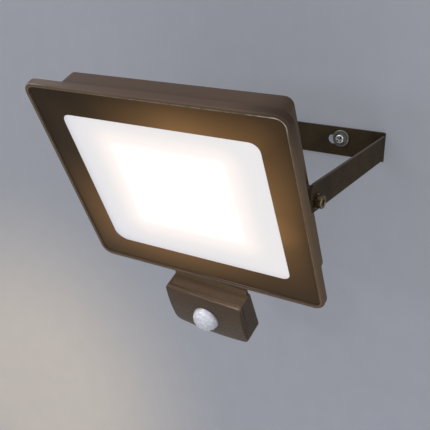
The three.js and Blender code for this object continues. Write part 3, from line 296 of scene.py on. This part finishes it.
def coloured(name, low, high, *, grain=600.0, blotch=18.0, rough=(0.35, 0.5), metallic=0.0, bump=0.00004,
             bump_scale=1500.0, coat=0.0, coat_rough=0.1, spec=0.5, sheen=0.0, stretch=None, upper=None,
             up=(0, 0, 1), facing=(0.88, 0.98), slope=None, tone_and_light=None):
    """A finish whose colour wanders between two tones, with a fine grain in its roughness and bump.

    Faces that look up take the upper tone, where one is given, and faces that slope a little take the slope
    tone: both are painted light, lighter tones where light from above would fall. A further function, where
    one is given, may change the colour after that with painted light and tones of its own.
    """
    n = Nodes(name)
    wide = n.product(n.noise(blotch, 2.0), WIDE_SHARE)
    fine = n.product(n.noise(grain, 4.0, stretch), FINE_SHARE)
    colour = n.mix(n.span(n.math("ADD", wide, fine), *TONE_RANGE), low, high)
    # painted light: faces that look up, or slope a little, are painted in lighter tones
    if upper:
        lift = n.dot(up, vector=n.normal)
        if slope:
            colour = n.mix(n.span(lift, *SLOPE_FACING, smooth=True), colour, slope)
        colour = n.mix(n.span(lift, *facing, smooth=True), colour, upper)
    if tone_and_light:
        colour = tone_and_light(n, colour)
    return n.set(
        Base_Color=colour,
        Roughness=n.wander(grain * 0.6, *rough, 2.0, stretch),
        Metallic=metallic,
        Normal=n.bump(n.noise(bump_scale, 2.0, stretch), bump),
        Coat_Weight=coat,
        Coat_Roughness=coat_rough,
        Specular_IOR_Level=spec,
        Sheen_Weight=sheen,
        Sheen_Roughness=0.3,
    )


def housing_tones_and_highlights(n, colour):
    """The housing's top right corner painted darker as painted shade, its browner right side, and painted
    highlights: light lines along the lip and the rim's edge.
    """
    # painted shade: the top right corner is painted darker
    colour = n.mix(spot(n, PAINTED_SHADE_CORNER), colour, PAINTED_SHADE_TONE)
    colour = n.mix(spot(n, BROWN_SIDE), colour, BROWN_PAINT)
    front = n.span(face_depth(n), *FRONT_END, 1.0, 0.0)
    past_lip = from_outline(n, LIP_HALF, LIP_RADIUS)
    # painted highlight lines on the lip and the rim's edge, broken up by noise, near the front only
    lip_line = n.product(n.span(past_lip, *LIP_LINE_START), n.span(past_lip, *LIP_LINE_END, 1.0, 0.0))
    patchy = n.span(n.noise(160.0, 2.0), 0.38, 0.62, 0.35, 1.0)
    lip_glint = n.product(strongest(n, LIP_HIGHLIGHTS, LEAST_LIP_HIGHLIGHT), patchy)
    colour = n.mix(n.product(lip_line, front, lip_glint), colour, LIP_HIGHLIGHT_TONE)
    rim_line = n.span(from_outline(n, RIM_HALF, RIM_RADIUS), *RIM_LINE_START)
    return n.mix(n.product(rim_line, front, strongest(n, RIM_HIGHLIGHTS)), colour, RIM_HIGHLIGHT_TONE)


def sensor_top_light(n, colour):
    """Painted light: the sensor's top is painted paler towards its back, to lift the shade where less light
    reaches it.
    """
    flat = n.span(n.dot(FACE_UP, vector=n.normal), 0.6, 0.9, smooth=True)
    back = n.span(face_depth(n), -0.006, 0.002, smooth=True)
    return n.mix(n.product(flat, back), colour, PAINTED_LIGHT_CASE_TOP)


def lit_sheet():
    """The opal sheet over the light chips: brightest in the middle, lilac grey along its border."""
    n = Nodes("opal_sheet_lit")
    light = n.mix(n.span(n.dot(FACE_SIDE), -0.09, 0.09), LIGHT_LEFT, LIGHT_RIGHT)
    for half, full, faded, smooth, tone in LIGHT_RINGS:
        away = from_rectangle(n, half, CORE_RAISE)
        light = n.mix(n.span(away, full, faded, smooth=smooth), tone, light)
    return n.set(
        Base_Color=(0.04, 0.04, 0.04),
        Roughness=n.wander(400.0, 0.45, 0.55),
        Emission_Color=light,
        Emission_Strength=0.94,
        Specular_IOR_Level=0.2,
    )


def border():
    """The glossy border, with a painted brown glow next to the window that stands for the lamp's light and
    its reflection, and the ground edge of the glass, lighter and with painted highlights.
    """
    n = Nodes("border_gloss")
    # painted glow: strongest next to the window and at the glow spots
    near = n.span(from_rectangle(n, WINDOW_HALF, WINDOW_RAISE), 0.0, 0.022, 1.0, 0.42)
    spots = n.fold("ADD", [strongest(n, GLOW_WIDE), *(spot(n, place) for place in GLOW_NARROW)])
    glow = n.product(near, n.span(spots, 0.0, 1.0, LEAST_GLOW, 1.0))
    glow = n.fold("ADD", [glow, *(spot(n, place) for place in GLOW_APART)])
    tone = n.mix(glow, BORDER_DARK, BORDER_GLOW)
    # the glass's ground edge: a lighter line with painted highlights where it catches light
    edge = n.span(from_outline(n, PANE_HALF, PANE_RADIUS), *PANE_LINE_START)
    edge = n.product(edge, strongest(n, PANE_EDGE, LEAST_PANE_EDGE))
    return n.set(
        Base_Color=n.mix(edge, tone, GROUND_EDGE_AND_GLINT),
        Roughness=n.wander(90.0, 0.10, 0.16, 2.0),
        Normal=n.bump(n.noise(60.0, 1.0), 0.00002),
        Specular_IOR_Level=0.07,
    )


def clear_glass():
    """Front glass: thin and see-through, so that the lit sheet behind it lights what is near."""
    n = Nodes("clear_glass")
    return n.set(Base_Color=(0.90, 0.92, 0.94), Roughness=n.wander(30.0, 0.0, 0.02), Alpha=0.06)


PAINTS = {
    # the upper tone is a painted highlight on the faces that look up
    "bracket_paint": dict(
        low=(0.024, 0.019, 0.0125), high=(0.042, 0.031, 0.019), upper=(0.088, 0.075, 0.063),
        rough=(0.5, 0.6), grain=500.0, blotch=45.0, spec=0.03,
    ),
    # the upper tone is painted light on the housing's tops, and its further function adds painted shade,
    # painted highlights and a browner right side
    "housing_paint": dict(
        low=(0.062, 0.042, 0.026), high=(0.082, 0.056, 0.035), upper=(0.090, 0.063, 0.050),
        up=FACE_UP, facing=(0.3, 1.0), tone_and_light=housing_tones_and_highlights,
        rough=(0.32, 0.42), grain=900.0, bump=0.00002, spec=0.06, coat=0.08, coat_rough=0.08,
    ),
    # the upper and slope tones, and the further function, are painted light on the sensor's top and on its
    # slope under the head
    "sensor_plastic": dict(
        low=(0.038, 0.025, 0.015), high=(0.046, 0.031, 0.020), upper=(0.062, 0.043, 0.029),
        slope=(0.095, 0.064, 0.041), up=FACE_UP, facing=(0.45, 0.8), tone_and_light=sensor_top_light,
        rough=(0.22, 0.30), grain=2400.0, bump=0.00001, bump_scale=4000.0, spec=0.16,
    ),
    "lens_plastic": dict(
        low=(0.30, 0.32, 0.385), high=(0.38, 0.40, 0.47),
        rough=(0.05, 0.10), coat=0.8, coat_rough=0.03, sheen=0.5,
    ),
    "rubber": dict(low=(0.012, 0.012, 0.012), high=(0.022, 0.022, 0.021), rough=(0.75, 0.9)),
    "white_plastic": dict(low=(0.78, 0.78, 0.76), high=(0.86, 0.86, 0.84), rough=(0.35, 0.45)),
    "white_board": dict(low=(0.74, 0.74, 0.72), high=(0.82, 0.82, 0.80), rough=(0.4, 0.55)),
    "green_board": dict(low=(0.010, 0.060, 0.028), high=(0.018, 0.10, 0.045), rough=(0.35, 0.5)),
    "black_nylon": dict(low=(0.014, 0.014, 0.014), high=(0.026, 0.026, 0.026), rough=(0.5, 0.65)),
    "knob_plastic": dict(low=(0.70, 0.70, 0.67), high=(0.80, 0.80, 0.77), rough=(0.4, 0.5)),
    "dark_steel": dict(low=(0.13, 0.095, 0.05), high=(0.20, 0.15, 0.085), rough=(0.24, 0.36), metallic=0.9),
    "washer_steel": dict(
        low=(0.13, 0.134, 0.132), high=(0.20, 0.202, 0.20), rough=(0.34, 0.48), metallic=0.8,
    ),
    "zinc_steel": dict(low=(0.56, 0.57, 0.60), high=(0.72, 0.73, 0.75), rough=(0.22, 0.35), metallic=1.0),
    "aluminium": dict(
        low=(0.58, 0.59, 0.61), high=(0.72, 0.73, 0.75),
        rough=(0.28, 0.45), metallic=1.0, stretch=(1, 14, 14),
    ),
}
FINISH = {name: coloured(name, **values) for name, values in PAINTS.items()}
FINISH.update(border_gloss=border(), glass=clear_glass(), opal_sheet=lit_sheet())

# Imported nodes: each keeps its mesh and gets its slot's finish, and some get fine rounded edges

SLOT_OF = {part["node"]: part["material_slot"] for part in frame["record"]["subparts"]}
BODY_OF = {node: body for body, nodes in frame["record"]["behaviour"]["bodies"].items() for node in nodes}
EDGE_ROUNDING = {
    "rear_housing": 0.0004, "mounting_bracket": 0.0003, "sensor_rear_case": 0.0002, "sensor_neck": 0.0002,
}
FLAT_ANGLE = math.radians(0.5)
EDGE_ANGLE = math.radians(30)
EDGE_SEGMENTS = 3


def add_bevel(obj, width, limit):
    edges = obj.modifiers.new("edges", "BEVEL")
    edges.width = width
    edges.segments = EDGE_SEGMENTS
    edges.limit_method = limit
    return edges


def add_normals(obj):
    normals = obj.modifiers.new("normals", "WEIGHTED_NORMAL")
    normals.keep_sharp = False


def smooth_faces(mesh):
    mesh.polygons.foreach_set("use_smooth", [True] * len(mesh.polygons))


def dress(obj, slot, rounding):
    """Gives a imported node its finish, smooth shading and, where asked, rounded edges."""
    obj.data.materials.clear()
    obj.data.materials.append(FINISH[slot])
    obj.data.polygons.foreach_set("material_index", [0] * len(obj.data.polygons))
    if rounding:
        flat = obj.modifiers.new("flat", "DECIMATE")
        flat.decimate_type = "DISSOLVE"
        flat.angle_limit = FLAT_ANGLE
        edges = add_bevel(obj, rounding, "ANGLE")
        edges.angle_limit = EDGE_ANGLE
        edges.harden_normals = False
    add_normals(obj)
    smooth_faces(obj.data)


for name, node in frame["nodes"].items():
    dress(node, SLOT_OF[name], EDGE_ROUNDING.get(name))

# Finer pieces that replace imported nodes


def piece(name, mesh, slot, node):
    """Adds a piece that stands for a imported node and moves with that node's body."""
    obj = bpy.data.objects.new(name, mesh)
    bpy.context.scene.collection.objects.link(obj)
    mesh.materials.append(FINISH[slot])
    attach(obj, BODY_OF[node])
    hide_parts(node)
    return obj


def turned(name, rings, place, slot, node, steps=96, sharp=28.0, capped=True):
    """A piece from rings about an axis. A ring is a radius and a height, or a function of the angle.

    Its first and last ring are capped, or else joined to each other.
    """
    bm = bmesh.new()
    angles = [2 * math.pi * step / steps for step in range(steps)]
    loops = []
    for ring in rings:
        loop = []
        for angle in angles:
            radius, height = ring(angle) if callable(ring) else ring
            point = Vector((radius * math.cos(angle), radius * math.sin(angle), height))
            loop.append(bm.verts.new(place @ point))
        loops.append(loop)
    following = loops[1:] if capped else loops[1:] + loops[:1]
    for low, high in zip(loops, following):
        for step in range(steps):
            after = (step + 1) % steps
            bm.faces.new((low[step], low[after], high[after], high[step]))
    for loop in (loops[0], loops[-1]) if capped else ():
        middle = bm.verts.new(sum((vert.co for vert in loop), Vector()) / steps)
        for step in range(steps):
            bm.faces.new((loop[step], loop[(step + 1) % steps], middle))
    bmesh.ops.recalc_face_normals(bm, faces=bm.faces)
    mesh = bpy.data.meshes.new(name)
    bm.to_mesh(mesh)
    bm.free()
    smooth_faces(mesh)
    mesh.set_sharp_from_angle(angle=math.radians(sharp))
    piece(name, mesh, slot, node)


def hexagon(across, height, wider=0.0):
    """A six-sided ring, measured across its flats, and optionally moved outwards."""
    def ring(angle):
        turn = angle % (math.pi / 3) - math.pi / 6
        return across / 2 / math.cos(turn) + wider, height
    return ring


def cross(half_width, reach, height):
    """A ring in the shape of a cross: half the width of an arm, and how far it reaches."""
    def ring(angle):
        turn = (angle + math.pi / 4) % (math.pi / 2) - math.pi / 4
        side = half_width / max(abs(math.sin(turn)), 1e-6)
        return min(reach / math.cos(turn), side), height
    return ring


def knurled(radius, height, teeth=36, depth=0.16):
    """A round ring with grooves cut into it."""
    return lambda angle: (radius - depth * (0.5 + 0.5 * math.cos(teeth * angle)), height)


def tilt_bolt(side, suffix):
    """A tilt bolt: knurled head with a rounded rim, a hexagon socket and a plain shank."""
    outwards = Matrix.Rotation(side * math.pi / 2, 4, "Y")
    place = HEAD_TO_PART @ Matrix.Translation((0, PIVOT_Y, PIVOT_Z)) @ outwards
    tip, seat, end = 98.6, 115.9, 121.0
    shank, socket = 2.95, 5.0
    rings = [
        (2.2, tip), (shank, tip + 0.8), (shank, seat), (4.9, seat), (5.3, seat + 0.25),
        knurled(5.4, seat + 0.5), knurled(5.4, end - 0.9),
        (5.25, end - 0.5), (5.05, end - 0.2), (4.7, end),
        hexagon(socket, end, 0.25), hexagon(socket, end - 0.25), hexagon(socket, end - 2.6),
        (1.2, end - 2.8),
    ]
    turned(f"cap_screw_{suffix}", rings, place, "dark_steel", f"tilt_bolt_{suffix}", steps=144)


def on_wall(low, high):
    """The frame of a screw or washer that points out of the wall, and its back and front along that axis."""
    x, z = (low[0] + high[0]) / 2 / MM, (low[2] + high[2]) / 2 / MM
    place = PART @ Matrix.Translation((x, 0, z)) @ FORWARDS
    return place, -high[1] / MM, -low[1] / MM


def wall_screw(suffix):
    """A pan head screw with a cross recess, seated on its washer."""
    place, back, front = on_wall(*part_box(f"wall_screw_{suffix}"))
    shank, head, crown, crown_rise = 2.0, 4.4, 1.4, 1.862
    base = front - 3.0
    shoulder = base + 1.1
    rings = [(1.6, back), (shank, back + 0.4), (shank, base)]
    rings += [(head - 0.2, base), (head, base + 0.3), (head, shoulder)]
    for degrees in range(15, 91, 15):
        turn = math.radians(degrees)
        rings.append((head - crown + crown * math.cos(turn), shoulder + crown_rise * math.sin(turn)))
    rings += [cross(0.85, 2.75, front - 0.02), cross(0.72, 2.6, front - 0.25), cross(0.45, 1.35, front - 1.6)]
    turned(f"pan_screw_{suffix}", rings, place, "zinc_steel", f"wall_screw_{suffix}", steps=144, sharp=32.0)


def wall_washer(suffix):
    """A washer with rounded edges and a shallow step round its hole."""
    low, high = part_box(f"wall_washer_{suffix}")
    place, back, front = on_wall(low, high)
    outer, inner = (high[0] - low[0]) / 2 / MM, 2.35
    rings = [
        (inner, back), (outer - 0.3, back), (outer, back + 0.3), (outer, front - 0.7),
        (outer - 0.15, front - 0.4), (outer - 0.5, front - 0.12), (outer - 0.9, front),
        (outer - 2.0, front), (outer - 2.4, front - 0.08), (inner + 0.5, front - 0.08), (inner, front - 0.35),
    ]
    turned(f"round_washer_{suffix}", rings, place, "washer_steel", f"wall_washer_{suffix}", capped=False)


def dome():
    """The sensor's lens: a dome of small convex cells in four rows round a middle one."""
    place = SENSOR_TO_PART @ Matrix.Translation(LENS_CENTRE) @ FORWARDS
    radius, bulge, wall, collar, cell_depth = 13.3, 11.6, 1.0, 2.0, 0.5
    rows = ((0, 14, 1), (14, 34, 6), (34, 55, 11), (55, 74, 15), (74, 90, 18))  # from and to degrees, cells
    levels = 72

    def cell(angle, tilt):
        """How far out the cell's surface is at a place: 1 at its middle, 0 at its edge."""
        for index, (low, high, count) in enumerate(rows):
            if tilt <= high:
                along = 2 * (tilt - low) / (high - low) - 1 if index else tilt / high
                turn = (angle / (2 * math.pi) * count + 0.5 * (index % 2)) % 1.0
                across = 2 * turn - 1 if count > 1 else 0.0
                return (1 - along ** 2) * (1 - across ** 2)

    def outer(tilt):
        def ring(angle):
            lift = cell_depth * (cell(angle, tilt) - 1)
            turn = math.radians(tilt)
            return (radius + lift) * math.sin(turn), (bulge + lift) * math.cos(turn)
        return ring

    rings = [outer(90 * level / levels) for level in range(1, levels + 1)]
    rings += [(radius, -collar), (radius - wall, -collar), (radius - wall, 0.0)]
    for degrees in range(10, 90, 10):
        turn = math.radians(degrees)
        rings.append(((radius - wall) * math.cos(turn), (bulge - wall) * math.sin(turn)))
    turned("faceted_dome", rings, place, "lens_plastic", "sensor_lens", steps=180, sharp=80.0)


def front_cover():
    """The sensor's cover with its rear edge drawn close to the case, so that the joint is a fine line."""
    mesh = frame["nodes"]["sensor_front_cover"].data.copy()
    mesh.name = "sensor_cover"
    mesh.materials.clear()
    to_sensor = SENSOR_TO_PART.inverted()
    rear, shift, reach = -8.0, 0.85, 0.02
    front_weight, joint_weight = 1.0, 0.15
    bm = bmesh.new()
    bm.from_mesh(mesh)
    bmesh.ops.dissolve_limit(bm, angle_limit=FLAT_ANGLE, verts=bm.verts, edges=bm.edges)
    places = {vert: to_sensor @ vert.co for vert in bm.verts}
    back = [vert for vert, place in places.items() if abs(place.y - rear) < reach]
    for index in geometry.convex_hull_2d([(places[vert].x, places[vert].z) for vert in back]):
        back[index].co = SENSOR_TO_PART @ (places[back[index]] + Vector((0, shift, 0)))
    weights = bm.edges.layers.float.new("bevel_weight_edge")
    for edge in bm.edges:
        if len(edge.link_faces) == 2 and edge.calc_face_angle() > EDGE_ANGLE:
            in_front = all(places[vert].y < rear - 0.5 for vert in edge.verts)
            edge[weights] = front_weight if in_front else joint_weight
    bm.to_mesh(mesh)
    bm.free()
    smooth_faces(mesh)
    cover = piece("sensor_cover", mesh, "sensor_plastic", "sensor_front_cover")
    add_bevel(cover, 0.0005, "WEIGHT")
    add_normals(cover)


front_cover()
for side, suffix in ((-1, "left"), (1, "right")):
    tilt_bolt(side, suffix)
    wall_screw(suffix)
    wall_washer(suffix)
dome()

# Stage: wall and floor

WALL_Y = 0.0004
HALF_WIDTH, DEPTH, FLOOR_Z, WALL_TOP = 3, 4, -1.2, 2.4
# the warm patch is a painted pool of warm light on the wall
WARM_X, WARM_Z, WARM_FULL, WARM_END = -0.40, -0.46, 0.08, 0.37  # the warm patch: middle and two radii
WALL_COOL, WALL_WARM = (0.268, 0.282, 0.324), (0.455, 0.425, 0.402)
OWN_LIGHT, SHORT_RANGE = 0.5, 0.0012


def wall_finish():
    """Blue grey wall with a painted pool of warm light low on the left.

    It is partly lit by itself where the camera sees it, and see-through from behind and at very short range,
    so that the back of the light can be looked at.
    """
    n = Nodes("wall")
    away = n.length(
        n.math("SUBTRACT", n.dot((1, 0, 0)), WARM_X),
        n.math("SUBTRACT", n.dot((0, 0, 1)), WARM_Z),
    )
    tone = n.mix(n.span(away, WARM_FULL, WARM_END, 1.0, 0.0, smooth=True), WALL_COOL, WALL_WARM)
    tone = n.mix(1.0, tone, n.wander(40.0, 0.985, 1.015), blend_type="MULTIPLY")
    n.set(Base_Color=tone, Roughness=0.9, Specular_IOR_Level=0.1)
    glow = n.add("ShaderNodeEmission")
    n.link(tone, glow.inputs["Color"])
    ray = n.add("ShaderNodeLightPath").outputs
    direct = n.fold("MAXIMUM", [ray["Is Camera Ray"], ray["Is Glossy Ray"], ray["Is Transmission Ray"]])
    solid = n.mix_shader(n.product(direct, OWN_LIGHT), n.shader, glow)
    behind = n.add("ShaderNodeNewGeometry").outputs["Backfacing"]
    clear = n.math("MAXIMUM", behind, n.math("LESS_THAN", ray["Ray Length"], SHORT_RANGE))
    surface = n.mix_shader(clear, solid, n.add("ShaderNodeBsdfTransparent"))
    n.link(surface.outputs[0], n.output.inputs["Surface"])
    return n.material


def floor_finish():
    """Plain pale floor."""
    n = Nodes("floor")
    tone = n.mix(n.wander(5.0, 0.0, 1.0), (0.72, 0.72, 0.72), (0.78, 0.78, 0.77))
    return n.set(Base_Color=tone, Roughness=0.85)


def sheet(name, corners, material):
    mesh = bpy.data.meshes.new(name)
    mesh.from_pydata(corners, [], [tuple(range(len(corners)))])
    mesh.materials.append(material)
    obj = bpy.data.objects.new(name, mesh)
    bpy.context.scene.collection.objects.link(obj)


sheet("wall", [
    (-HALF_WIDTH, WALL_Y, FLOOR_Z), (HALF_WIDTH, WALL_Y, FLOOR_Z),
    (HALF_WIDTH, WALL_Y, WALL_TOP), (-HALF_WIDTH, WALL_Y, WALL_TOP),
], wall_finish())
sheet("floor", [
    (-HALF_WIDTH, -DEPTH, FLOOR_Z), (HALF_WIDTH, -DEPTH, FLOOR_Z),
    (HALF_WIDTH, DEPTH, FLOOR_Z), (-HALF_WIDTH, DEPTH, FLOOR_Z),
], floor_finish())

# Light

WORLD_COLOUR, WORLD_STRENGTH = (1.0, 0.975, 0.94, 1), 0.8
# name, place, target, width and height, watts, colour
LAMPS = (
    ("upper_left", (-1.1, -1.2, 1.4), (0, -0.15, 0), (1.4, 1.4), 9, (1.0, 0.98, 0.96)),
    ("front_right", (1.9, -1.3, 0.3), (0, -0.1, 0), (1.4, 1.4), 15, (1.0, 0.98, 0.96)),
    ("low_front", (0.3, -1.8, -0.9), (0, -0.1, -0.05), (1.6, 0.8), 9, (1.0, 0.97, 0.94)),
    ("front_left", (-0.495, -1.501, 0.293), (0, -0.15, -0.14), (0.16, 0.16), 3.5, (1.0, 0.98, 0.97)),
    ("edge_strip", (-0.62, -0.06, 0.50), (-0.05, -0.2, 0.05), (0.10, 0.5), 0.5, (1.0, 0.98, 0.95)),
)

world = bpy.data.worlds.new("studio")
world.use_nodes = True
sky = world.node_tree.nodes["Background"]
sky.inputs["Color"].default_value = WORLD_COLOUR
sky.inputs["Strength"].default_value = WORLD_STRENGTH
bpy.context.scene.world = world

for name, place, target, size, watts, colour in LAMPS:
    light = bpy.data.lights.new(name, "AREA")
    light.shape = "RECTANGLE"
    light.size, light.size_y = size
    light.energy = watts
    light.color = colour
    lamp = bpy.data.objects.new(name, light)
    bpy.context.scene.collection.objects.link(lamp)
    lamp.location = place
    lamp.rotation_mode = "QUATERNION"
    lamp.rotation_quaternion = (Vector(target) - Vector(place)).to_track_quat("-Z", "Y")

# Camera, as fitted to the photograph

lens = bpy.data.cameras.new("camera")
lens.lens = 57.57
lens.sensor_width = 36.0
lens.clip_start = 0.02
camera = bpy.data.objects.new("camera", lens)
bpy.context.scene.collection.objects.link(camera)
camera.location = (0.3038948, -0.6401258, 0.1759535)
camera.rotation_mode = "QUATERNION"
camera.rotation_quaternion = Quaternion((0.7936406, 0.5469678, 0.1499494, 0.2201725))
bpy.context.scene.camera = camera
bpy.context.scene.view_settings.view_transform = "Standard"

bpy.context.view_layer.update()
